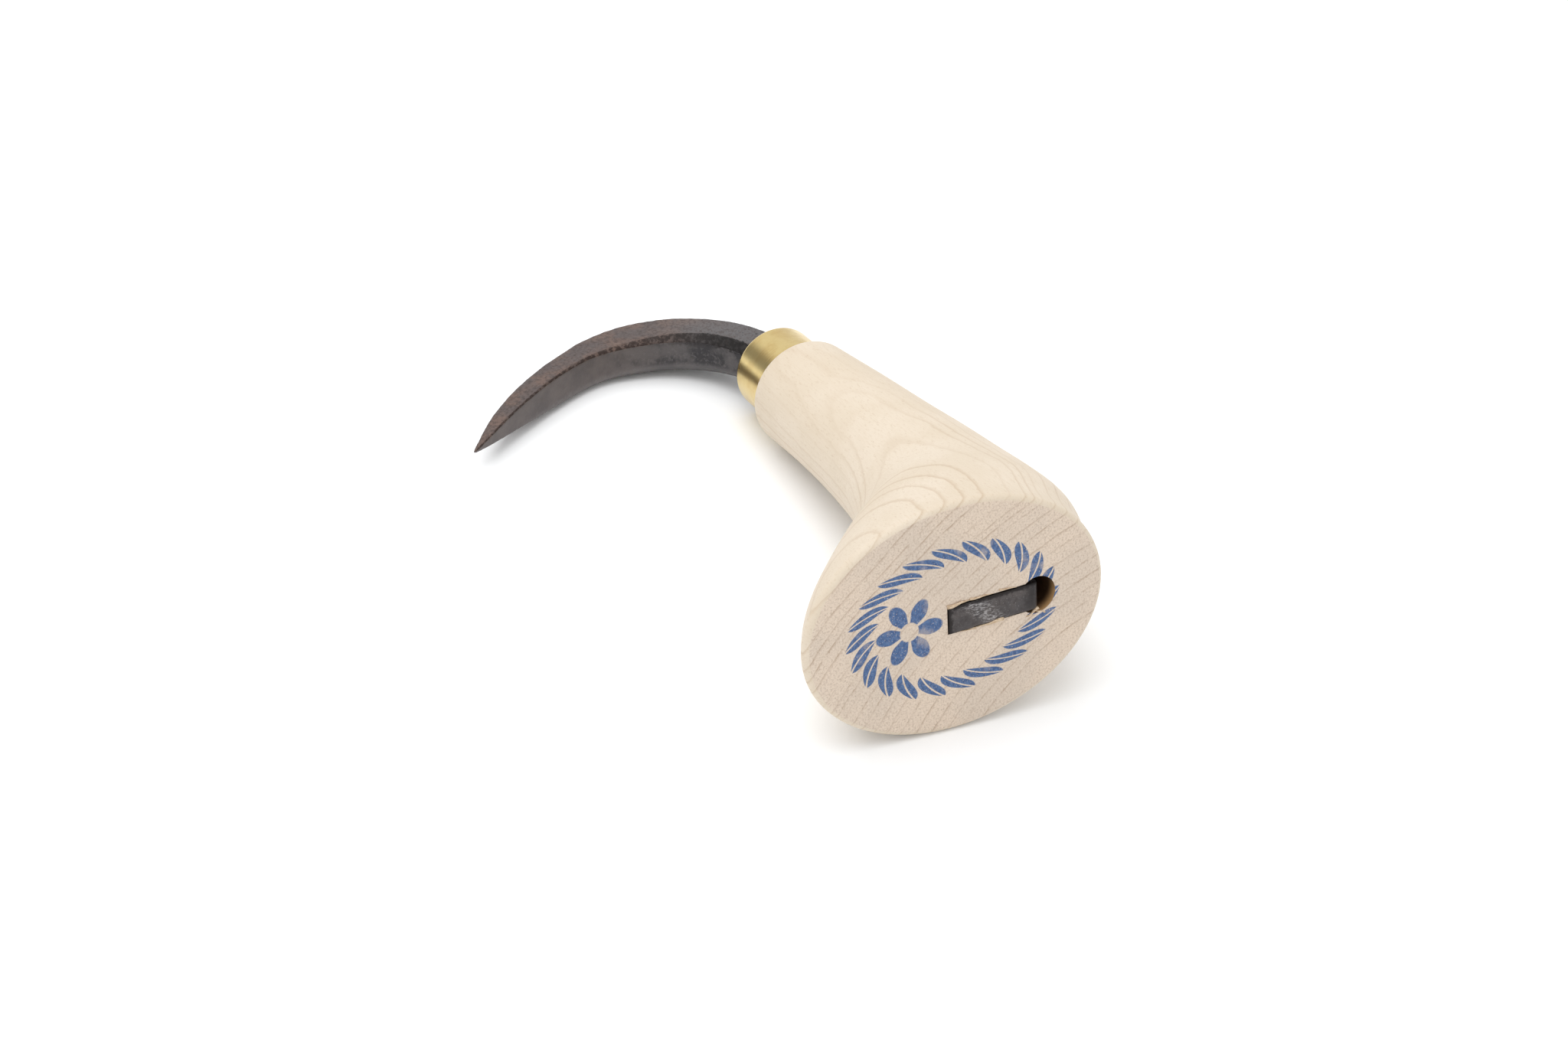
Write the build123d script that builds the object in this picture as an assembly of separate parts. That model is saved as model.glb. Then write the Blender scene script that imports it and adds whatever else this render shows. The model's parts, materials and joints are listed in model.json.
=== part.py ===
from build123d import *
import math
import os

# Pointed hand hook: a forged steel hook whose tang runs right through a wooden handle and is
# clinched over on the butt, with a brass ferrule on the front end of the wood.
#
# It is built straight, with X along the handle from the butt face (X = 0) to the hook, Y towards
# the side that the point is on, and Z square to the flat of the hook. At the end it is laid down
# the way it lies on a table.

# ---- driving sizes, in millimetres and degrees ----

# wooden handle
wood_length = 105.0        # butt face to the shoulder that the ferrule stops on
neck_radius = 12.5         # round shoulder
neck_edge_round = 1.2
butt_front_reach = 52.0    # from the bore's axis to the butt's edge on the point's side
butt_half_height = 25.6    # half of the butt's height across the flat of the hook
butt_edge_round = 1.5
back_swell = 7.0           # how far the back of the grip swells beyond the neck

# brass ferrule
ferrule_length = 14.7
ferrule_radius = 9.9
ferrule_wall = 1.1
ferrule_edge_round = 1.0
ferrule_fit = 0.03         # radial gap between the ferrule and the wooden tenon inside it
ferrule_lip = 1.0          # how far the ferrule stands past the end of the tenon

# forged hook
bar_width = 10.4           # across the bar in the plane of the hook, where it leaves the ferrule
bar_height = 9.8           # square to the plane of the hook
bar_chamfer = 2.0
hook_lead = 0.5            # straight stretch from the tang's shoulder to the start of the bend
bend_radius = 26.5
bend_angle = 90.0
belly_radius = 27.0
belly_angle = 26.5
point_radius = 123.0
point_angle = 21.0

# tang and clinched leg
tang_height = 5.9          # square to the plane of the hook
tang_front_width = 5.4     # at the shoulder
tang_butt_width = 3.0      # where it comes out of the butt
tang_chamfer = 0.5
leg_reach = 19.9           # from the bore's axis to the end of the clinched leg
leg_thickness = 3.1
leg_proud = 0.4            # how far the leg stands out of the butt face
leg_corner_round = 1.5
slot_gap = 0.2             # gap round the leg in its slot
bore_gap = 0.1             # gap between the tang's corners and the bore

# how finely the handle and the hook are lofted
handle_sections = 22
hook_sections = 31

# search for the roll at which it lies still
steepest_roll = 20.0
roll_tolerance = 0.0001

# ---- forms: how each profile runs between those sizes ----

# Handle, from the shoulder (0) to the butt face (1): position, then the share of the front
# flare, of the back swell and of the height that is reached there.
HANDLE_FORM = (
    (0.00, 0.00, 0.00, 0.00),
    (0.19, 0.00, 0.44, 0.00),
    (0.35, 0.01, 0.59, 0.10),
    (0.50, 0.06, 0.77, 0.22),
    (0.64, 0.20, 0.91, 0.37),
    (0.75, 0.49, 1.00, 0.60),
    (0.85, 0.73, 0.94, 0.80),
    (0.93, 0.90, 0.57, 0.92),
    (1.00, 1.00, 0.31, 1.00),
)

# Hook, from the tang's shoulder (0) to the point (1): position, then the share of the bar's
# width, height and chamfer that is left there.
HOOK_FORM = (
    (0.00, 1.00, 0.96, 1.00),
    (0.10, 1.05, 0.99, 1.00),
    (0.20, 1.05, 1.00, 0.90),
    (0.30, 1.07, 0.95, 0.75),
    (0.40, 1.05, 0.87, 0.55),
    (0.48, 0.88, 0.81, 0.40),
    (0.57, 0.68, 0.80, 0.28),
    (0.67, 0.58, 0.75, 0.20),
    (0.78, 0.49, 0.60, 0.15),
    (0.89, 0.33, 0.37, 0.12),
    (1.00, 0.06, 0.06, 0.02),
)

# ---- sizes that follow from them ----

ferrule_bore_radius = ferrule_radius - ferrule_wall
tenon_radius = ferrule_bore_radius - ferrule_fit
tenon_length = ferrule_length - ferrule_lip
tang_shoulder_x = wood_length + tenon_length
slot_depth = leg_thickness - leg_proud
bore_radius = math.hypot(tang_front_width, tang_height) / 2 + bore_gap
tang_butt_offset = (tang_front_width - tang_butt_width) / 2


def form_value(form, column, position):
    """Smooth curve through one column of a form, read at a position along it."""
    spans = len(form) - 1
    span = max(i for i in range(spans) if i == 0 or form[i][0] <= position)

    def slope(row):
        before = form[max(row - 1, 0)]
        after = form[min(row + 1, spans)]
        return (after[column] - before[column]) / (after[0] - before[0])

    start = form[span]
    end = form[span + 1]
    length = end[0] - start[0]
    t = (position - start[0]) / length
    rise = end[column] - start[column]
    start_slope = slope(span) * length
    end_slope = slope(span + 1) * length
    bend = 3 * rise - 2 * start_slope - end_slope
    twist = start_slope + end_slope - 2 * rise
    return start[column] + t * (start_slope + t * (bend + t * twist))


def form_rows(form, count):
    """The form read at evenly spaced positions."""
    columns = range(1, len(form[0]))
    positions = [i / (count - 1) for i in range(count)]
    return [(u, *(form_value(form, column, u) for column in columns)) for u in positions]


def cross_plane(x, y=0.0, heading=0.0):
    """Plane square to a path in XY; its own x runs to the path's left and its y runs up."""
    turn = math.radians(heading)
    left = (-math.sin(turn), math.cos(turn), 0)
    ahead = (math.cos(turn), math.sin(turn), 0)
    return Plane(origin=(x, y, 0), x_dir=left, z_dir=ahead)


def bar_section(plane, width, height, chamfer_size):
    """Rectangle with its four corners cut off."""
    half_width = width / 2
    half_height = height / 2
    corners = []
    for side, up in ((1, 1), (-1, 1), (-1, -1), (1, -1)):
        long_cut = (side * (half_width - chamfer_size), up * half_height)
        short_cut = (side * half_width, up * (half_height - chamfer_size))
        corners += [short_cut, long_cut] if side == up else [long_cut, short_cut]
    return plane * make_face(Polyline(*corners, close=True))


def handle_oval(front_share, back_share, height_share):
    """Middle, half width and half height of the oval across the handle."""
    front = neck_radius + front_share * (butt_front_reach - neck_radius)
    back = neck_radius + back_share * back_swell
    half_height = neck_radius + height_share * (butt_half_height - neck_radius)
    return (front - back) / 2, (front + back) / 2, half_height


def handle_section(position, *shares):
    """Cut across the handle at a share of the way from the shoulder to the butt face."""
    middle, half_width, half_height = handle_oval(*shares)
    plane = cross_plane(wood_length * (1 - position), middle)
    return plane * scale(Circle(1), by=(half_width, half_height, 1))


def make_handle():
    rows = form_rows(HANDLE_FORM, handle_sections)
    wood = loft([handle_section(*row) for row in reversed(rows)])
    butt_edge = wood.edges().sort_by(Axis.X)[0]
    wood = fillet(butt_edge, butt_edge_round)
    shoulder_edge = wood.edges().sort_by(Axis.X)[-1]
    wood = fillet(shoulder_edge, neck_edge_round)
    wood += extrude(cross_plane(wood_length) * Circle(tenon_radius), tenon_length)
    wood -= extrude(cross_plane(0) * Circle(bore_radius), tang_shoulder_x)
    slot_end = leg_reach + slot_gap
    slot_height = tang_height + 2 * slot_gap
    slot = Pos(slot_depth / 2, slot_end / 2, 0) * Box(slot_depth, slot_end, slot_height)
    return wood - slot


def make_ferrule():
    tube = extrude(cross_plane(wood_length) * Circle(ferrule_radius), ferrule_length)
    front_edge = tube.edges().sort_by(Axis.X)[-1]
    tube = fillet(front_edge, ferrule_edge_round)
    return tube - extrude(cross_plane(wood_length) * Circle(ferrule_bore_radius), ferrule_length)


HOOK_ARCS = ((bend_radius, bend_angle), (belly_radius, belly_angle), (point_radius, point_angle))
HOOK_LENGTH = hook_lead + sum(radius * math.radians(angle) for radius, angle in HOOK_ARCS)


def hook_path(distance):
    """Place and heading at a distance along the hook's centre line from the tang's shoulder."""
    straight = min(distance, hook_lead)
    x = tang_shoulder_x + straight
    y = 0.0
    heading = 0.0
    left_over = distance - straight
    for radius, angle in HOOK_ARCS:
        turn = min(math.radians(angle), left_over / radius)
        x += radius * (math.sin(heading + turn) - math.sin(heading))
        y += radius * (math.cos(heading) - math.cos(heading + turn))
        heading += turn
        left_over -= radius * turn
    return x, y, math.degrees(heading)


def hook_section(position, width_share, height_share, chamfer_share):
    x, y, heading = hook_path(position * HOOK_LENGTH)
    plane = cross_plane(x, y, heading)
    cut = chamfer_share * bar_chamfer
    return bar_section(plane, width_share * bar_width, height_share * bar_height, cut)


def make_hook():
    bow = loft([hook_section(*row) for row in form_rows(HOOK_FORM, hook_sections)])
    butt_section = bar_section(
        cross_plane(slot_depth, tang_butt_offset), tang_butt_width, tang_height, tang_chamfer
    )
    front_section = bar_section(
        cross_plane(tang_shoulder_x), tang_front_width, tang_height, tang_chamfer
    )
    tang = loft([butt_section, front_section])
    leg_start = tang_butt_offset - tang_butt_width / 2
    leg_length = leg_reach - leg_start
    leg_place = Pos(slot_depth - leg_thickness / 2, leg_start + leg_length / 2, 0)
    leg = leg_place * Box(leg_thickness, leg_length, tang_height)
    bent_corner = leg.edges().filter_by(Axis.Z).sort_by(Axis.X)[:2].sort_by(Axis.Y)[0]
    leg = fillet(bent_corner, leg_corner_round)
    return bow + tang + leg


# ---- how it lies: on the butt's rim, the wooden shoulder and the underside of the hook ----


def butt_depth(roll):
    """How far the butt's rim reaches below the bore's axis when the handle is rolled."""
    rim = 1 - butt_edge_round / wood_length
    shares = [form_value(HANDLE_FORM, column, rim) for column in (1, 2, 3)]
    middle, half_width, half_height = handle_oval(*shares)
    reach = math.hypot(half_height * math.cos(roll), half_width * math.sin(roll))
    return middle * math.sin(roll) + reach


def lying_pitch(roll):
    """Slope of the line under the butt's rim and the wooden shoulder."""
    span = wood_length - butt_edge_round - neck_edge_round
    return math.atan2(butt_depth(roll) - neck_radius, span)


def hook_clearance(roll):
    """Smallest gap between the lower edges of the hook and the table."""
    gaps = []
    for position, width_share, height_share, chamfer_share in form_rows(HOOK_FORM, hook_sections):
        x, y, heading = hook_path(position * HOOK_LENGTH)
        turn = math.radians(heading)
        half_flat = width_share * bar_width / 2 - chamfer_share * bar_chamfer
        for side in (half_flat, -half_flat):
            edge_y = y + side * math.cos(turn)
            edge_x = x - side * math.sin(turn)
            depth = edge_y * math.sin(roll) + height_share * bar_height / 2 * math.cos(roll)
            ahead = edge_x - (wood_length - neck_edge_round)
            gaps.append(neck_radius - ahead * math.tan(lying_pitch(roll)) - depth)
    return min(gaps)


def lying_roll():
    """Roll at which the hook first touches the table."""
    low = 0.0
    high = math.radians(steepest_roll)
    while high - low > math.radians(roll_tolerance):
        middle = (low + high) / 2
        if hook_clearance(middle) > 0:
            low = middle
        else:
            high = middle
    return low


os.makedirs("parts", exist_ok=True)
roll = lying_roll()
pitch = lying_pitch(roll)
lay_down = Rotation(0, math.degrees(pitch), 0) * Rotation(-math.degrees(roll), 0, 0)

nodes = {
    "hook": lay_down * make_hook(),
    "ferrule": lay_down * make_ferrule(),
    "handle": lay_down * make_handle(),
}
box = Compound(list(nodes.values())).bounding_box()
to_origin = Pos(-box.center().X, -box.center().Y, -box.min.Z)
for name, shape in nodes.items():
    export_step(to_origin * shape, f"parts/{name}.step")
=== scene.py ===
import bpy
import json
import math
from mathutils import Matrix, Quaternion, Vector


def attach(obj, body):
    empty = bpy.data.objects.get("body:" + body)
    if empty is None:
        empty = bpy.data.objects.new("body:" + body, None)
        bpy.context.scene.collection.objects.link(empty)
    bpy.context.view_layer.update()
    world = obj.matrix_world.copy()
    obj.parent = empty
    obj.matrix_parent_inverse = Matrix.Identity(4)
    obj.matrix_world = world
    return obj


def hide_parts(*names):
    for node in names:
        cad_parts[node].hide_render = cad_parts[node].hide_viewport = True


# A pointed hand hook on a white table: forged steel hook, brass ferrule and pale wooden handle.
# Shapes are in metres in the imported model's frame. Patterns are laid out in millimetres in the
# tool's own frame: x runs along the handle from the butt face to the hook, y towards the side
# that the point is on, z square to the flat of the hook.

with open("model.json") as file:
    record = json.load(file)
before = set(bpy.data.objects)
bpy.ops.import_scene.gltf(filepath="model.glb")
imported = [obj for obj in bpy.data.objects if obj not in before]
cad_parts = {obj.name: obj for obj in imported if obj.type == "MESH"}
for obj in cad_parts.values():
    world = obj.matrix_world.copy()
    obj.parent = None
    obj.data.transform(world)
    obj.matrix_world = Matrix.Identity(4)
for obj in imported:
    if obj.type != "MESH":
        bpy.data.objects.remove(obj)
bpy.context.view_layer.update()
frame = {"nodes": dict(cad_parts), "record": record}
MM = 0.001

# ---- the tool's own frame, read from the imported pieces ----


def node_points(node):
    return [vertex.co.copy() for vertex in frame["nodes"][node].data.vertices]


def extent(points, direction):
    """Lowest and highest reach of the points along a direction."""
    reach = [point.dot(direction) for point in points]
    return min(reach), max(reach)


def tool_frame():
    """Matrix from the tool's own frame, with its origin where the bore meets the butt face."""
    butt = next(m for m in frame["record"]["mounts"] if m["name"] == "butt_face")
    ahead = -Vector(butt["axis"]).normalized()
    side = Vector((0, 0, 1)).cross(ahead).normalized()
    ferrule = node_points("ferrule")
    on_axis = Vector()
    for direction in (side, ahead.cross(side)):
        on_axis += direction * sum(extent(ferrule, direction)) / 2
    origin = on_axis + ahead * extent(node_points("handle"), ahead)[0]
    lean = Vector()
    for point in node_points("hook"):
        offset = point - origin
        lean += offset - ahead * offset.dot(ahead)
    toward_point = lean.normalized()
    square = ahead.cross(toward_point)
    turn = Matrix((ahead, toward_point, square)).transposed()
    return Matrix.Translation(origin) @ turn.to_4x4()


TOOL = tool_frame()
TO_TOOL = TOOL.inverted()


def srgb(red, green, blue):
    """Linear colour from 8-bit screen values."""

    def linear(value):
        share = value / 255
        return share / 12.92 if share <= 0.04045 else ((share + 0.055) / 1.055) ** 2.4

    return linear(red), linear(green), linear(blue), 1.0


class Recipe:
    """A material under construction, with short names for the nodes that it is made of."""

    def __init__(self, name):
        self.material = bpy.data.materials.new(name)
        self.material.use_nodes = True
        self.nodes = self.material.node_tree.nodes
        self.links = self.material.node_tree.links
        self.shader = self.nodes["Principled BSDF"]

    def put(self, socket, value):
        if isinstance(value, bpy.types.NodeSocket):
            self.links.new(value, socket)
        else:
            socket.default_value = value

    def node(self, kind, inputs=(), **settings):
        made = self.nodes.new(kind)
        for key, value in settings.items():
            setattr(made, key, value)
        for key, value in dict(inputs).items():
            self.put(made.inputs[key], value)
        return made

    def maths(self, operation, *values):
        return self.node("ShaderNodeMath", enumerate(values), operation=operation).outputs[0]

    def add(self, first, second):
        return self.maths("ADD", first, second)

    def less(self, first, second):
        return self.maths("SUBTRACT", first, second)

    def times(self, first, second):
        return self.maths("MULTIPLY", first, second)

    def divided(self, first, second):
        return self.maths("DIVIDE", first, second)

    def size_of(self, value):
        return self.maths("ABSOLUTE", value)

    def either(self, first, second):
        return self.maths("MAXIMUM", first, second)

    def both(self, first, second):
        return self.maths("MINIMUM", first, second)

    def length(self, first, second):
        squares = self.add(self.times(first, first), self.times(second, second))
        return self.maths("SQRT", squares)

    def rise(self, value, low, high):
        """Smooth step from 0 at low to 1 at high; the other way down if high is the lower."""
        ends = {"Value": value, "From Min": low, "From Max": high}
        return self.node("ShaderNodeMapRange", ends, interpolation_type="SMOOTHSTEP").outputs[0]

    def swing(self, noise, width):
        """Noise of 0 to 1 turned into a wobble of the given width about 0."""
        return self.times(self.less(noise, 0.5), width)

    def tool_place(self):
        """Place on the piece in the tool's own frame, in millimetres."""
        here = self.node("ShaderNodeTexCoord").outputs["Object"]
        lay = {
            "Vector": here,
            "Location": TOOL.to_translation(),
            "Rotation": TOOL.to_euler(),
            "Scale": (MM, MM, MM),
        }
        return self.node("ShaderNodeMapping", lay, vector_type="TEXTURE").outputs[0]

    def split(self, place):
        return self.node("ShaderNodeSeparateXYZ", {"Vector": place}).outputs

    def joined(self, x, y, z):
        return self.node("ShaderNodeCombineXYZ", {"X": x, "Y": y, "Z": z}).outputs[0]

    def stretched(self, place, x, y, z):
        return self.node("ShaderNodeMapping", {"Vector": place, "Scale": (x, y, z)}).outputs[0]

    def noise(self, place, scale, detail=2.0, roughness=0.5):
        """Noise from 0 to 1, with scale in cells per millimetre."""
        look = {"Vector": place, "Scale": scale, "Detail": detail, "Roughness": roughness}
        return self.node("ShaderNodeTexNoise", look).outputs["Fac"]

    def mix(self, share, first, second):
        made = self.node("ShaderNodeMix", data_type="RGBA")
        self.put(made.inputs["Factor"], share)
        self.put(made.inputs["A"], first)
        self.put(made.inputs["B"], second)
        return made.outputs["Result"]

    def over(self, base, colour, mask, strength):
        """Lays a colour over the base where the mask is 1, as strongly as strength says."""
        return self.mix(self.times(mask, strength), base, colour)

    def ramp(self, value, stops):
        made = self.node("ShaderNodeValToRGB", {"Fac": value})
        elements = made.color_ramp.elements
        while len(elements) < len(stops):
            elements.new(1.0)
        for element, (position, level) in zip(elements, stops):
            element.position = position
            element.color = (level, level, level, 1.0)
        return made.outputs["Color"]

    def bump(self, height, distance, strength):
        """Normal from a height of 0 to 1 that stands for a distance in millimetres."""
        look = {"Height": height, "Distance": distance * MM, "Strength": strength}
        return self.node("ShaderNodeBump", look).outputs["Normal"]

    def finish(self, **inputs):
        for key, value in inputs.items():
            self.put(self.shader.inputs[key.replace("_", " ")], value)
        return self.material


# ---- blue ink mark on the butt: a plain wreath of leaves round a six-petalled flower ----

BUTT_MIDDLE = (18.7, 0.0)      # y and z of the middle of the butt face
WREATH_LEAVES = 22
WREATH_REACH = (20.5, 14.5)    # half width and half height of the wreath
LEAF_LENGTH = 0.34             # as a share of the wreath's size
LEAF_SLANT = 0.17              # share of a turn that a leaf would lean by over that size
LEAF_FULLNESS = 0.42           # half of a leaf's width, as a share of the room it has
FLOWER_MIDDLE = (28.5, 0.0)
FLOWER_RADIUS = 7.4
PETALS = 6
PETAL_NOTCH = 0.38             # how near the flower's middle the gaps between petals reach
INK_DARK = srgb(48, 80, 126)
INK_PALE = srgb(74, 106, 150)
INK_DEPTH = 0.97


def leafy_wreath(r, y, z):
    """1 inside the leaves of the wreath, 0 outside and along their ribs, with soft edges."""
    across = r.divided(r.less(y, BUTT_MIDDLE[0]), WREATH_REACH[0])
    up = r.divided(r.less(z, BUTT_MIDDLE[1]), WREATH_REACH[1])
    turn = r.divided(r.maths("ARCTAN2", up, across), math.tau)
    beyond = r.less(r.length(across, up), 1.0)
    slanted = r.add(turn, r.times(beyond, LEAF_SLANT))
    leaf = r.maths("FRACT", r.times(slanted, float(WREATH_LEAVES)))
    off_rib = r.size_of(r.less(leaf, 0.5))
    along = r.size_of(r.divided(beyond, LEAF_LENGTH / 2))
    width = r.times(r.less(1.0, r.times(along, along)), LEAF_FULLNESS)
    blade = r.rise(r.less(width, off_rib), -0.02, 0.03)
    rib = r.rise(off_rib, 0.03, 0.06)
    return r.times(blade, rib)


def six_petals(r, y, z):
    """1 inside the petals, 0 outside and in the flower's eye."""
    across = r.less(y, FLOWER_MIDDLE[0])
    up = r.less(z, FLOWER_MIDDLE[1])
    radius = r.divided(r.length(across, up), FLOWER_RADIUS)
    turn = r.maths("ARCTAN2", up, across)
    lobe = r.size_of(r.maths("COSINE", r.times(turn, PETALS / 2)))
    edge = r.add(r.times(lobe, 1 - PETAL_NOTCH), PETAL_NOTCH)
    petal = r.rise(r.less(edge, radius), -0.02, 0.04)
    gap = r.rise(lobe, 0.25, 0.45)
    eye = r.rise(radius, 0.26, 0.30)
    return r.times(r.times(petal, gap), eye)


def ink_cover(r, place, x, y, z):
    """How much ink lies on the wood: full in the mark's shapes, worn off in patches."""
    marks = r.either(leafy_wreath(r, y, z), six_petals(r, y, z))
    speckle = r.rise(r.noise(place, 3.2, 3.0, 0.7), 0.30, 0.42)
    patch = r.rise(r.noise(place, 0.22, 2.0), 0.28, 0.42)
    worn = r.times(speckle, r.add(r.times(patch, 0.35), 0.65))
    on_face = r.rise(x, 0.12, 0.05)
    return r.times(r.times(marks, worn), on_face)


# ---- wood ----

PITH = (-34.0, -68.0)        # y and z of the middle of the trunk, where the butt was cut
RUN_OUT = 0.226              # how far the grain climbs for each step along the handle
GRAIN_BOW = -0.0015          # and how that slope eases off
RING_RADII = (
    (64.5, 67.5, 70.2, 73.0, 76.2, 79.4, 82.5, 85.2, 88.4),
    (91.3, 94.1, 95.7, 97.2, 99.7, 103.4, 105.6, 107.6, 110.1, 113.5),
)
RING_WIDTH = 0.6             # soft inner side of each ring line
RING_EDGE = 0.12             # sharp outer side
RAYS_ROUND = 170.0           # medullary rays to each radian round the trunk
BORE_RADIUS = 4.13
BORE_BLUR = 0.25             # how softly the painted shade in the bore ends
SLOT_HALF_HEIGHT = 3.2
SLOT_REACH = 20.2
SLOT_DEPTH = 3.2
SLOT_BLUR = 0.2              # how softly the painted shade in the slot ends

SIDE = srgb(213, 199, 179)
SIDE_PALE = srgb(218, 205, 187)
SIDE_FIBRE = srgb(205, 187, 163)
SIDE_SPECK = srgb(192, 171, 145)
SIDE_RING = srgb(186, 162, 134)
END = srgb(218, 201, 183)
END_GREY = srgb(210, 195, 179)
END_PORE = srgb(168, 147, 128)
END_GLINT = srgb(236, 226, 212)
END_RAY = srgb(188, 170, 152)
END_RING = srgb(160, 134, 111)
BORE_SHADE_BLACK = srgb(44, 30, 20)
BORE_SHADE_BROWN = srgb(84, 58, 36)
LIT_BORE_MOUTH = srgb(190, 150, 104)
SLOT_SHADE_PALE = srgb(150, 124, 98)
SLOT_SHADE_DARK = srgb(92, 74, 60)
TORN_PALE = srgb(216, 196, 170)
TORN_BROWN = srgb(176, 148, 116)


def trunk_radius(r, y, z):
    return r.length(r.less(y, PITH[0]), r.less(z, PITH[1]))


def growth_rings(r, place, x, y, z):
    """Line at the end of each year's growth, 0 to 1: a soft inner side and a sharp outer one."""
    wander = r.swing(r.noise(place, 0.045, 2.0), 2.4)
    waver = r.swing(r.noise(place, 0.5, 2.0), 0.35)
    climb = r.times(x, r.add(r.times(x, GRAIN_BOW), RUN_OUT))
    radius = r.add(r.add(trunk_radius(r, y, z), climb), r.add(wander, waver))
    lines = 0.0
    for radii in RING_RADII:
        first = radii[0] - 2 * RING_WIDTH
        last = radii[-1] + RING_WIDTH
        share = r.node("ShaderNodeMapRange", {0: radius, 1: first, 2: last}).outputs[0]
        stops = []
        for ring in radii:
            strength = 0.55 + 0.45 * math.sin(ring * 2.9) ** 2
            for offset, level in ((-RING_WIDTH, 0.0), (-0.05, strength), (RING_EDGE, 0.0)):
                stops.append(((ring + offset - first) / (last - first), level))
        lines = r.either(lines, r.ramp(share, stops))
    return r.maths("POWER", lines, 1.6)


def side_grain(r, place, x, z, rings, fibres, clouds):
    """Fine fibres along the handle, soft clouding, a fine speckle and ring lines."""
    speckle = r.noise(r.stretched(place, 0.35, 1.0, 1.0), 2.2, 3.0, 0.7)
    colour = r.mix(r.rise(clouds, 0.35, 0.65), SIDE, SIDE_PALE)
    colour = r.over(colour, SIDE_FIBRE, r.rise(fibres, 0.40, 0.75), 0.30)
    colour = r.over(colour, SIDE_SPECK, r.rise(speckle, 0.54, 0.72), 0.50)
    # the lines are plain round the butt and low on the side, and faint on top of the neck
    plain = r.either(r.rise(x, 70.0, 40.0), r.rise(z, 5.0, -3.0))
    shown = r.add(r.times(plain, 0.70), 0.30)
    return r.over(colour, SIDE_RING, r.times(rings, shown), 0.62)


def end_grain(r, place, x, y, z, rings, pores, clouds):
    """Open pores, faint rays square to the rings, and ring lines that come and go."""
    bearing = r.maths("ARCTAN2", r.less(y, PITH[0]), r.less(z, PITH[1]))
    round_trunk = r.times(bearing, RAYS_ROUND)
    ray_place = r.joined(r.times(x, 0.3), round_trunk, r.times(trunk_radius(r, y, z), 0.12))
    rays = r.noise(ray_place, 1.0, 2.0)
    broken = r.rise(r.noise(place, 0.35, 2.0), 0.25, 0.65)
    colour = r.mix(r.rise(clouds, 0.35, 0.65), END, END_GREY)
    colour = r.over(colour, END_PORE, r.rise(pores, 0.45, 0.72), 0.80)
    colour = r.over(colour, END_GLINT, r.rise(pores, 0.42, 0.30), 0.35)
    colour = r.over(colour, END_RAY, r.rise(rays, 0.50, 0.70), 0.16)
    return r.over(colour, END_RING, r.times(rings, broken), 0.80)


def drilled_and_cut(r, place, x, y, z, colour, pores):
    """Painted shade down the bore, with painted light on the side of its mouth where light falls
    in, and painted shade on the walls of the slot beside the leg.
    """
    past_face = r.rise(x, 0.0, 0.25)
    in_bore = r.rise(r.length(y, z), BORE_RADIUS + BORE_BLUR, BORE_RADIUS)
    # painted shade down the bore: near black with brown noise, and paler painted light on its
    # lit side near the mouth
    bore_shade = r.mix(r.noise(place, 0.8, 3.0), BORE_SHADE_BLACK, BORE_SHADE_BROWN)
    lit_side = r.rise(r.add(y, z), -0.5, -5.0)
    bore_shade = r.mix(r.times(lit_side, r.rise(x, 3.0, 0.0)), bore_shade, LIT_BORE_MOUTH)
    colour = r.mix(r.times(in_bore, past_face), colour, bore_shade)

    # painted shade on the walls of the slot, in the gap beside the leg
    height = r.rise(r.size_of(z), SLOT_HALF_HEIGHT + SLOT_BLUR, SLOT_HALF_HEIGHT)
    width = r.both(r.rise(y, SLOT_REACH + SLOT_BLUR, SLOT_REACH), r.rise(y, -SLOT_BLUR, 0.0))
    depth = r.rise(x, SLOT_DEPTH + SLOT_BLUR, SLOT_DEPTH)
    in_slot = r.times(r.times(height, width), depth)
    slot_shade = r.mix(pores, SLOT_SHADE_PALE, SLOT_SHADE_DARK)
    return r.mix(r.times(in_slot, past_face), colour, slot_shade)


def pale_wood():
    r = Recipe("pale_wood")
    place = r.tool_place()
    x, y, z = r.split(place)
    rings = growth_rings(r, place, x, y, z)
    fibres = r.noise(r.stretched(place, 0.05, 1.0, 1.0), 2.6, 4.0, 0.65)
    clouds = r.noise(place, 0.06, 2.0)
    pores = r.noise(r.stretched(place, 0.3, 1.0, 1.0), 2.3, 4.0, 0.75)

    side = side_grain(r, place, x, z, rings, fibres, clouds)
    end = end_grain(r, place, x, y, z, rings, pores, clouds)
    on_butt = r.rise(r.add(x, r.swing(pores, 0.08)), 0.16, 0.06)
    colour = r.mix(on_butt, side, end)

    ink_depth = r.noise(place, 1.4, 3.0, 0.6)
    ink = r.mix(r.rise(ink_depth, 0.35, 0.65), INK_DARK, INK_PALE)
    colour = r.over(colour, ink, ink_cover(r, place, x, y, z), INK_DEPTH)
    colour = drilled_and_cut(r, place, x, y, z, colour, pores)

    height = r.mix(on_butt, r.times(fibres, 0.35), r.less(1.0, r.times(pores, 0.9)))
    normal = r.bump(height, distance=0.10, strength=0.5)
    roughness = r.add(r.times(fibres, 0.12), 0.52)
    r.shader.inputs["Specular IOR Level"].default_value = 0.30
    return r.finish(Base_Color=colour, Roughness=roughness, Normal=normal)


def torn_wood():
    """Raw fibres of the splinters round the slot."""
    r = Recipe("torn_wood")
    fibres = r.noise(r.stretched(r.tool_place(), 1.5, 0.4, 2.5), 2.4, 4.0, 0.7)
    colour = r.mix(r.rise(fibres, 0.35, 0.65), TORN_PALE, TORN_BROWN)
    normal = r.bump(fibres, distance=0.08, strength=0.6)
    return r.finish(Base_Color=colour, Roughness=0.7, Normal=normal)


# ---- steel ----

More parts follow.
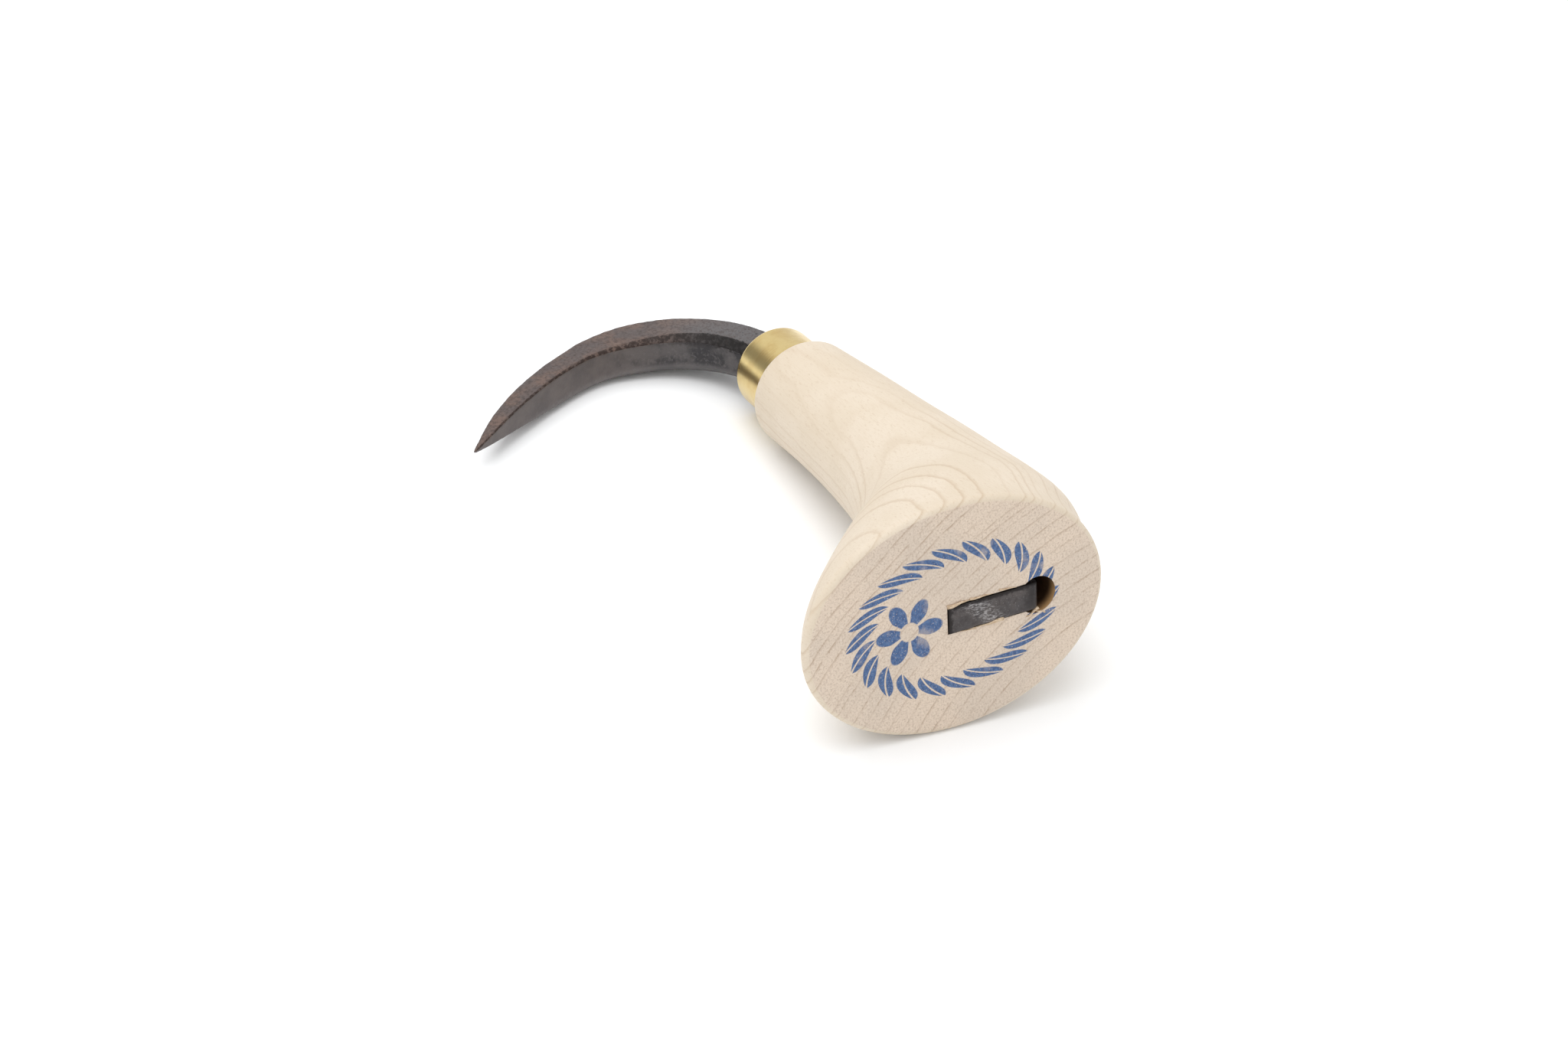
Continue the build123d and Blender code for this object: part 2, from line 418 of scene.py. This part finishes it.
TOP_GREY_BROWN = srgb(94, 84, 82)
TOP_BROWN = srgb(114, 94, 85)
TOP_GREY = srgb(104, 101, 102)      # beside the ferrule
TOP_SHADE = srgb(72, 61, 58)
GRIT = srgb(140, 131, 126)
SIDE_STEEL_DARK = srgb(56, 54, 56)
SIDE_STEEL = srgb(88, 84, 84)
SIDE_MOTTLE = srgb(108, 104, 104)
POINT_STEEL_DARK = srgb(88, 84, 85)
POINT_STEEL = srgb(116, 106, 102)
TABLE_REFLECTION = srgb(128, 124, 124)
SCALE_AND_SHADE_BLACK = srgb(20, 16, 15)
SCALE_AND_SHADE_BROWN = srgb(50, 37, 32)
LEG_DARK = srgb(74, 70, 70)
LEG = srgb(88, 82, 80)
LEG_SHADE = srgb(56, 50, 50)
LEG_SPECK = srgb(134, 130, 128)
LEG_SCRAPE = srgb(198, 195, 194)
LEG_EDGE_SHADE = srgb(26, 21, 20)


def flat_steel(r, y, z, beside_ferrule, upness, patches, mottle, grit):
    """Rubbed, brownish top face; greyer sides, painted darker as shade, with a painted
    reflection of the white table along their lower edge.
    """
    top = r.mix(r.rise(patches, 0.38, 0.62), TOP_GREY_BROWN, TOP_BROWN)
    top = r.mix(beside_ferrule, top, TOP_GREY)
    top = r.over(top, TOP_SHADE, r.rise(mottle, 0.42, 0.66), 0.75)
    top = r.over(top, GRIT, r.rise(grit, 0.55, 0.8), 0.35)
    # the sides are painted darker than the top as shade
    sides = r.mix(r.rise(patches, 0.40, 0.60), SIDE_STEEL_DARK, SIDE_STEEL)
    sides = r.over(sides, SIDE_MOTTLE, r.rise(mottle, 0.48, 0.70), 0.6)
    point_sides = r.mix(patches, POINT_STEEL_DARK, POINT_STEEL)
    sides = r.over(sides, point_sides, r.rise(y, 14.0, 36.0), 0.75)
    # painted reflection of the white table along the lower edge of the sides
    table_reflection = r.rise(r.add(z, r.swing(mottle, 2.0)), -1.6, -3.4)
    sides = r.over(sides, TABLE_REFLECTION, table_reflection, 0.45)
    return r.mix(r.rise(upness, 0.5, 0.2), top, sides)


def scale_and_shade_on_arrises(r, place, y, z, beside_ferrule, upness, mottle, steel):
    """Dark scale along each upper arris, black and ragged near the ferrule, where it spills down
    the side, then browner and broken up towards the point; it is also painted shade, picked by
    which way the surface faces, so only the upper arrises and the upper side near the ferrule
    get it."""
    toward_point = r.rise(y, 6.0, 32.0)
    raggedness = r.add(r.times(beside_ferrule, 0.35), 0.20)
    ragged = r.add(upness, r.swing(mottle, raggedness))
    # scale and painted shade: only surfaces facing up and sideways, so the lower arrises stay
    # bare
    arris = r.times(r.rise(ragged, 0.22, 0.40), r.rise(ragged, 0.97, 0.88))
    flaked_off = r.less(1.0, r.rise(r.noise(place, 0.9, 4.0, 0.7), 0.42, 0.54))
    loss = r.times(flaked_off, r.add(r.times(toward_point, 0.58), 0.12))
    arris = r.times(arris, r.less(1.0, loss))
    spill = r.rise(r.add(z, r.swing(mottle, 6.0)), 2.0, 3.4)
    spill = r.times(r.times(spill, r.less(1.0, toward_point)), r.rise(upness, 0.5, 0.2))
    black = r.mix(toward_point, SCALE_AND_SHADE_BLACK, SCALE_AND_SHADE_BROWN)
    return r.over(steel, black, r.either(arris, r.times(spill, 0.8)), 0.97)


def clinched_leg(r, place, y, z, patches, mottle):
    """The leg, burnished and scratched where it was hammered home, with painted shade along its
    edges where it meets the slot's walls and the bore.
    """
    leg = r.mix(r.rise(patches, 0.4, 0.6), LEG_DARK, LEG)
    leg = r.over(leg, LEG_SHADE, r.rise(mottle, 0.40, 0.65), 0.6)
    leg = r.over(leg, LEG_SPECK, r.rise(r.noise(place, 2.6, 3.0), 0.58, 0.70), 0.45)
    slanting = r.add(y, r.times(z, -0.9))
    scrape_zone = r.times(r.rise(slanting, 7.5, 11.5), r.rise(slanting, 16.5, 13.0))
    scrape_lines = r.noise(r.stretched(place, 1.0, 0.6, 2.0), 1.9, 5.0, 0.8)
    scrapes = r.rise(r.add(scrape_lines, r.times(scrape_zone, 0.06)), 0.53, 0.66)
    leg = r.over(leg, LEG_SCRAPE, r.times(scrapes, scrape_zone), 0.55)
    # painted shade where the leg meets the slot's upper and far walls and where it bends into
    # the bore
    edge_wobble = r.swing(mottle, 1.4)
    upper_rim = r.rise(r.add(z, edge_wobble), 2.1, 2.6)
    far_rim = r.rise(r.add(y, edge_wobble), 18.9, 19.5)
    at_bore = r.times(r.rise(y, 4.0, 1.2), 0.75)
    edge_shade = r.either(r.either(upper_rim, far_rim), at_bore)
    return r.over(leg, LEG_EDGE_SHADE, edge_shade, 0.88)


def forged_steel():
    """Forge scale with a brown cast, rubbed on the flats and nearly black on the arrises, with
    painted shade on the sides and upper arrises and a painted reflection of the table low on the
    sides.
    """
    r = Recipe("forged_steel")
    place = r.tool_place()
    x, y, z = r.split(place)
    patches = r.noise(place, 0.16, 4.0, 0.6)
    mottle = r.noise(place, 1.3, 4.0, 0.65)
    grit = r.noise(place, 6.0, 2.0, 0.6)
    facing = r.node("ShaderNodeNewGeometry").outputs["Normal"]
    square = {0: facing, 1: TOOL.col[2].xyz}
    lean = r.node("ShaderNodeVectorMath", square, operation="DOT_PRODUCT")
    upness = lean.outputs["Value"]
    beside_ferrule = r.times(r.rise(x, 152.0, 132.0), r.rise(y, 26.0, 8.0))

    steel = flat_steel(r, y, z, beside_ferrule, upness, patches, mottle, grit)
    steel = scale_and_shade_on_arrises(r, place, y, z, beside_ferrule, upness, mottle, steel)
    on_leg = r.rise(x, 1.0, 0.4)
    colour = r.mix(on_leg, steel, clinched_leg(r, place, y, z, patches, mottle))

    height = r.add(r.times(mottle, 0.7), r.times(grit, 0.3))
    normal = r.bump(height, distance=0.12, strength=0.45)
    roughness = r.add(r.times(mottle, 0.30), 0.34)
    r.shader.inputs["Metallic"].default_value = 0.55
    return r.finish(Base_Color=colour, Roughness=roughness, Normal=normal)


# ---- brass ----

BRASS = srgb(226, 202, 140)
BRASS_TARNISH = srgb(212, 182, 118)
BRASS_BRIGHT = srgb(240, 224, 176)
POLISH_LINES = 9.0           # to each millimetre along the tube


def brushed_brass():
    """Thin brass tube, polished round the handle, with a slight tarnish."""
    r = Recipe("brushed_brass")
    place = r.tool_place()
    x, y, z = r.split(place)
    turn = r.maths("ARCTAN2", y, z)
    along_polish = r.joined(r.times(x, POLISH_LINES), r.times(turn, 0.7), 0.0)
    lines = r.noise(along_polish, 1.0, 4.0, 0.7)
    tarnish = r.noise(place, 0.22, 4.0, 0.6)
    colour = r.mix(r.rise(tarnish, 0.35, 0.7), BRASS, BRASS_TARNISH)
    colour = r.over(colour, BRASS_BRIGHT, r.rise(lines, 0.45, 0.75), 0.35)
    roughness = r.add(r.times(lines, 0.14), r.add(r.times(tarnish, 0.10), 0.13))
    normal = r.bump(lines, distance=0.02, strength=0.35)
    r.shader.inputs["Metallic"].default_value = 1.0
    return r.finish(Base_Color=colour, Roughness=roughness, Normal=normal)


# ---- pieces ----

SKIN_VOXEL = 0.30 * MM
WELD_DISTANCE = 0.001 * MM
POINT_REACH = 7 * MM         # length of the point that is drawn out again
BOW_FADE = 4 * MM            # how far past the ferrule the hammer marks take to come in
FLAT_SIZE, FLAT_DEPTH = 9 * MM, 0.16 * MM
PIT_SIZE, PIT_DEPTH = 2.2 * MM, 0.14 * MM

# middle, length, width, thickness (all in millimetres) and lean in degrees of each sliver
SLIVERS = (
    ((-0.15, 17.6, 3.30), 5.2, 0.95, 0.75, 86.0),
    ((-0.05, 12.4, 3.35), 5.6, 0.60, 0.45, 92.0),
    ((-0.05, 6.6, 3.40), 4.2, 0.50, 0.40, 96.0),
    ((-0.25, 10.8, -3.05), 6.0, 0.90, 0.95, -94.0),
    ((-0.05, 15.6, -3.25), 3.6, 0.55, 0.45, -86.0),
    ((0.05, 1.2, -3.75), 3.4, 0.80, 0.80, -115.0),
    ((0.10, -0.6, -4.00), 2.4, 0.60, 0.60, -70.0),
)


def dress(piece, material):
    piece.data.materials.clear()
    piece.data.materials.append(material)
    for polygon in piece.data.polygons:
        polygon.material_index = 0


def work_on(piece):
    """Leaves one piece selected and active."""
    bpy.ops.object.select_all(action="DESELECT")
    piece.select_set(True)
    bpy.context.view_layer.objects.active = piece


def hammer_marks(piece, name, size, depth):
    """Pushes the bow's surface in and out by a soft pattern of the given size."""
    pattern = bpy.data.textures.new(name, "CLOUDS")
    pattern.noise_scale = size
    marks = piece.modifiers.new(name, "DISPLACE")
    marks.texture = pattern
    marks.texture_coords = "LOCAL"
    marks.mid_level = 0.5
    marks.strength = depth
    marks.vertex_group = "bow"
    bpy.ops.object.modifier_apply(modifier=name)


def draw_out_point(piece):
    """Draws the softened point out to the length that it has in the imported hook."""

    def outmost(points):
        return max(points, key=lambda point: (TO_TOOL @ point).y)

    tip = outmost([vertex.co.copy() for vertex in piece.data.vertices])
    pull = outmost(node_points("hook")) - tip
    for vertex in piece.data.vertices:
        near = 1 - (vertex.co - tip).length / POINT_REACH
        if near > 0:
            vertex.co += pull * near**2


def mark_out_bow(piece):
    """Vertex group of the part of the hook that is clear of the ferrule."""
    bow = piece.vertex_groups.new(name="bow")
    ferrule_mouth = max((TO_TOOL @ point).x for point in node_points("ferrule"))
    for vertex in piece.data.vertices:
        clear = (TO_TOOL @ vertex.co).x - ferrule_mouth
        if clear > 0:
            bow.add([vertex.index], min(1.0, clear / BOW_FADE), "REPLACE")


def forged_hook(material):
    """The hook with a hammered skin: softened arrises and shallow, uneven flats."""
    piece = bpy.data.objects.new("forged_hook", frame["nodes"]["hook"].data.copy())
    bpy.context.scene.collection.objects.link(piece)
    work_on(piece)
    bpy.ops.object.mode_set(mode="EDIT")
    bpy.ops.mesh.select_all(action="SELECT")
    bpy.ops.mesh.remove_doubles(threshold=WELD_DISTANCE)
    bpy.ops.object.mode_set(mode="OBJECT")
    skin = piece.modifiers.new("skin", "REMESH")
    skin.mode = "VOXEL"
    skin.voxel_size = SKIN_VOXEL
    bpy.ops.object.modifier_apply(modifier="skin")
    soften = piece.modifiers.new("soften", "SMOOTH")
    soften.factor = 0.5
    soften.iterations = 3
    bpy.ops.object.modifier_apply(modifier="soften")
    draw_out_point(piece)
    mark_out_bow(piece)
    hammer_marks(piece, "planished_flats", FLAT_SIZE, FLAT_DEPTH)
    hammer_marks(piece, "scale_pits", PIT_SIZE, PIT_DEPTH)
    bpy.ops.object.shade_smooth()
    dress(piece, material)
    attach(piece, "root")
    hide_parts("hook")


def sliver(middle, length, width, thickness, lean):
    """A flattened, crooked, tapering sliver of wood that lies along the slot."""
    bpy.ops.object.select_all(action="DESELECT")
    bpy.ops.mesh.primitive_cone_add(vertices=7, radius1=0.5, radius2=0.08, depth=1.0)
    piece = bpy.context.active_object
    bpy.ops.object.mode_set(mode="EDIT")
    bpy.ops.mesh.select_all(action="SELECT")
    bpy.ops.mesh.subdivide(number_cuts=4)
    bpy.ops.mesh.vertices_smooth(factor=0.3, repeat=1)
    bpy.ops.object.mode_set(mode="OBJECT")
    for vertex in piece.data.vertices:
        vertex.co.x += 0.16 * math.sin(5.0 * vertex.co.z + length)
        vertex.co.y += 0.12 * math.sin(9.0 * vertex.co.z + width)
    size = Matrix.Diagonal((thickness, width, length, 1.0))
    laid = Quaternion((1, 0, 0), math.radians(lean)).to_matrix().to_4x4()
    in_millimetres = Matrix.Translation(Vector(middle)) @ laid @ size
    piece.data.transform(TOOL @ Matrix.Scale(MM, 4) @ in_millimetres)
    return piece


def slot_splinters(material):
    """Wood torn up along the rim of the slot when the leg was hammered in."""
    slivers = [sliver(*sizes) for sizes in SLIVERS]
    work_on(slivers[0])
    for each in slivers:
        each.select_set(True)
    bpy.ops.object.join()
    piece = bpy.context.active_object
    piece.name = "slot_splinters"
    bpy.ops.object.mode_set(mode="EDIT")
    bpy.ops.mesh.select_all(action="SELECT")
    bpy.ops.mesh.normals_make_consistent(inside=False)
    bpy.ops.object.mode_set(mode="OBJECT")
    bpy.ops.object.shade_smooth()
    dress(piece, material)
    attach(piece, "root")


# ---- table, light and camera ----

TABLE_SIZE = 6.0
TABLE_WHITE = (0.965, 0.975, 0.985, 1.0)
ROOM_LIGHT = 0.90
CORNER_LIGHT = 0.20                     # in the dark corner of the room
CORNER_TURN = (27.0, 11.0)              # degrees round from +X towards +Y, and degrees up
CORNER_INNER, CORNER_OUTER = 0.10, 0.34  # distances from its middle on a sphere of radius 1
PANEL_SIZE = (1.3, 1.1)
PANEL_POWER = 7.7                       # watts
PANEL_PLACE = (0.15, 0.25, 1.1)


def toward(turn, up):
    """Unit vector at a turn from +X towards +Y and an elevation, both in degrees."""
    level = math.cos(math.radians(up))
    east = math.cos(math.radians(turn)) * level
    north = math.sin(math.radians(turn)) * level
    return east, north, math.sin(math.radians(up))


def white_table():
    bpy.ops.object.select_all(action="DESELECT")
    bpy.ops.mesh.primitive_plane_add(size=TABLE_SIZE, location=(0, 0, 0))
    table = bpy.context.active_object
    table.name = "table"
    r = Recipe("white_table")
    r.shader.inputs["Specular IOR Level"].default_value = 0.2
    dress(table, r.finish(Base_Color=TABLE_WHITE, Roughness=0.75))


def white_room():
    """White all round, with one dark corner low down, which the brass mirrors."""
    world = bpy.data.worlds.new("studio")
    world.use_nodes = True
    nodes = world.node_tree.nodes
    links = world.node_tree.links
    outward = nodes.new("ShaderNodeTexCoord").outputs["Generated"]
    off_corner = nodes.new("ShaderNodeVectorMath")
    off_corner.operation = "DISTANCE"
    links.new(outward, off_corner.inputs[0])
    off_corner.inputs[1].default_value = toward(*CORNER_TURN)
    fade = nodes.new("ShaderNodeMapRange")
    fade.interpolation_type = "SMOOTHSTEP"
    fade.inputs["From Min"].default_value = CORNER_INNER
    fade.inputs["From Max"].default_value = CORNER_OUTER
    fade.inputs["To Min"].default_value = CORNER_LIGHT
    fade.inputs["To Max"].default_value = ROOM_LIGHT
    links.new(off_corner.outputs["Value"], fade.inputs["Value"])
    background = nodes["Background"]
    background.inputs["Color"].default_value = (1.0, 1.0, 1.0, 1.0)
    links.new(fade.outputs[0], background.inputs["Strength"])
    bpy.context.scene.world = world
    bpy.context.scene.view_settings.view_transform = "Standard"


def overhead_light():
    """One large, soft panel above the table."""
    lamp = bpy.data.lights.new("overhead", "AREA")
    lamp.shape = "RECTANGLE"
    lamp.size, lamp.size_y = PANEL_SIZE
    lamp.energy = PANEL_POWER
    light = bpy.data.objects.new("overhead", lamp)
    light.location = PANEL_PLACE
    light.rotation_mode = "QUATERNION"
    light.rotation_quaternion = (-light.location).to_track_quat("-Z", "Y")
    bpy.context.scene.collection.objects.link(light)


def camera():
    """Looks down on the butt end; lens and sensor in millimetres."""
    aim = Vector((-10.3, -3.3, 8.9)) * MM
    distance = 681.1 * MM
    azimuth = math.radians(-118.22)
    elevation = math.radians(34.08)
    tilt = math.radians(4.88)
    level = math.cos(elevation)
    back = Vector((math.sin(azimuth) * level, -math.cos(azimuth) * level, math.sin(elevation)))
    data = bpy.data.cameras.new("camera")
    data.lens = 73.83
    data.sensor_width = 36.0
    data.clip_start = 0.01
    view = bpy.data.objects.new("camera", data)
    view.location = aim + back * distance
    view.rotation_mode = "QUATERNION"
    upright = (-back).to_track_quat("-Z", "Y")
    view.rotation_quaternion = upright @ Quaternion((0, 0, 1), tilt)
    bpy.context.scene.collection.objects.link(view)
    bpy.context.scene.camera = view


camera()
white_room()
overhead_light()
white_table()
dress(frame["nodes"]["handle"], pale_wood())
dress(frame["nodes"]["ferrule"], brushed_brass())
forged_hook(forged_steel())
slot_splinters(torn_wood())
